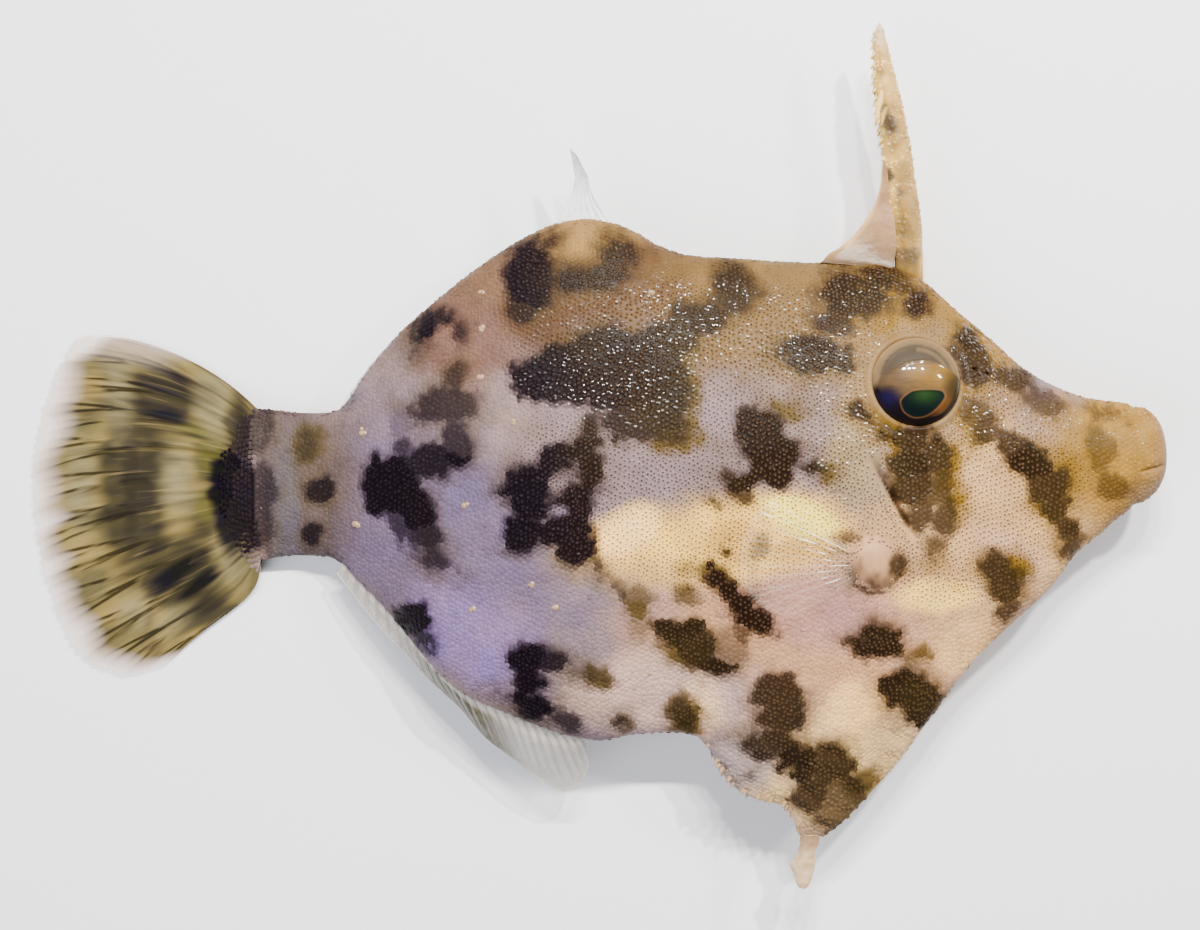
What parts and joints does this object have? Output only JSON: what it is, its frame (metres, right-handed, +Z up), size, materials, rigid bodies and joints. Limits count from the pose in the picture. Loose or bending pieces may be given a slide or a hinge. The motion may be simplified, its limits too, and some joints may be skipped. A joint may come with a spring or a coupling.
{
  "type": "aiptasia-eating filefish",
  "caption": "Small filefish lying limp on its left side, with a tall barbed first dorsal spine, a belly flap, ribbed fins and a fanned tail.",
  "frame": {"origin": "on the floor under the middle of the whole fish's box", "axes": "+X from the tail to the snout, +Y from the belly to the back, +Z up from the left flank, which it lies on, to the right flank"},
  "size_m": [0.0838, 0.0632, 0.0113],
  "materials": {
    "skin": "wet, finely granular skin, blotched dark brown on pale tan and lavender",
    "spine": "cream to tan bone-like spine, slightly glossy",
    "fin": "thin translucent rayed membrane, wet",
    "tail": "translucent rayed membrane with dark and olive bars, wet",
    "eye": "glossy cornea over a brown iris and a dark green pupil"
  },
  "bodies": {
    "root": {"head": "skin", "trunk": "skin", "belly_flap": "skin", "tail_stalk": "skin", "spine_web": "skin", "dorsal_spine": "spine", "pelvic_tab": "spine", "soft_dorsal_fin_front": "fin", "soft_dorsal_fin_folded": "fin", "anal_fin": "fin", "pectoral_fin_right": "fin", "pectoral_fin_left": "fin", "tail_fin": "tail", "eye_right": "eye", "eye_left": "eye"}
  },
  "joints": []
}
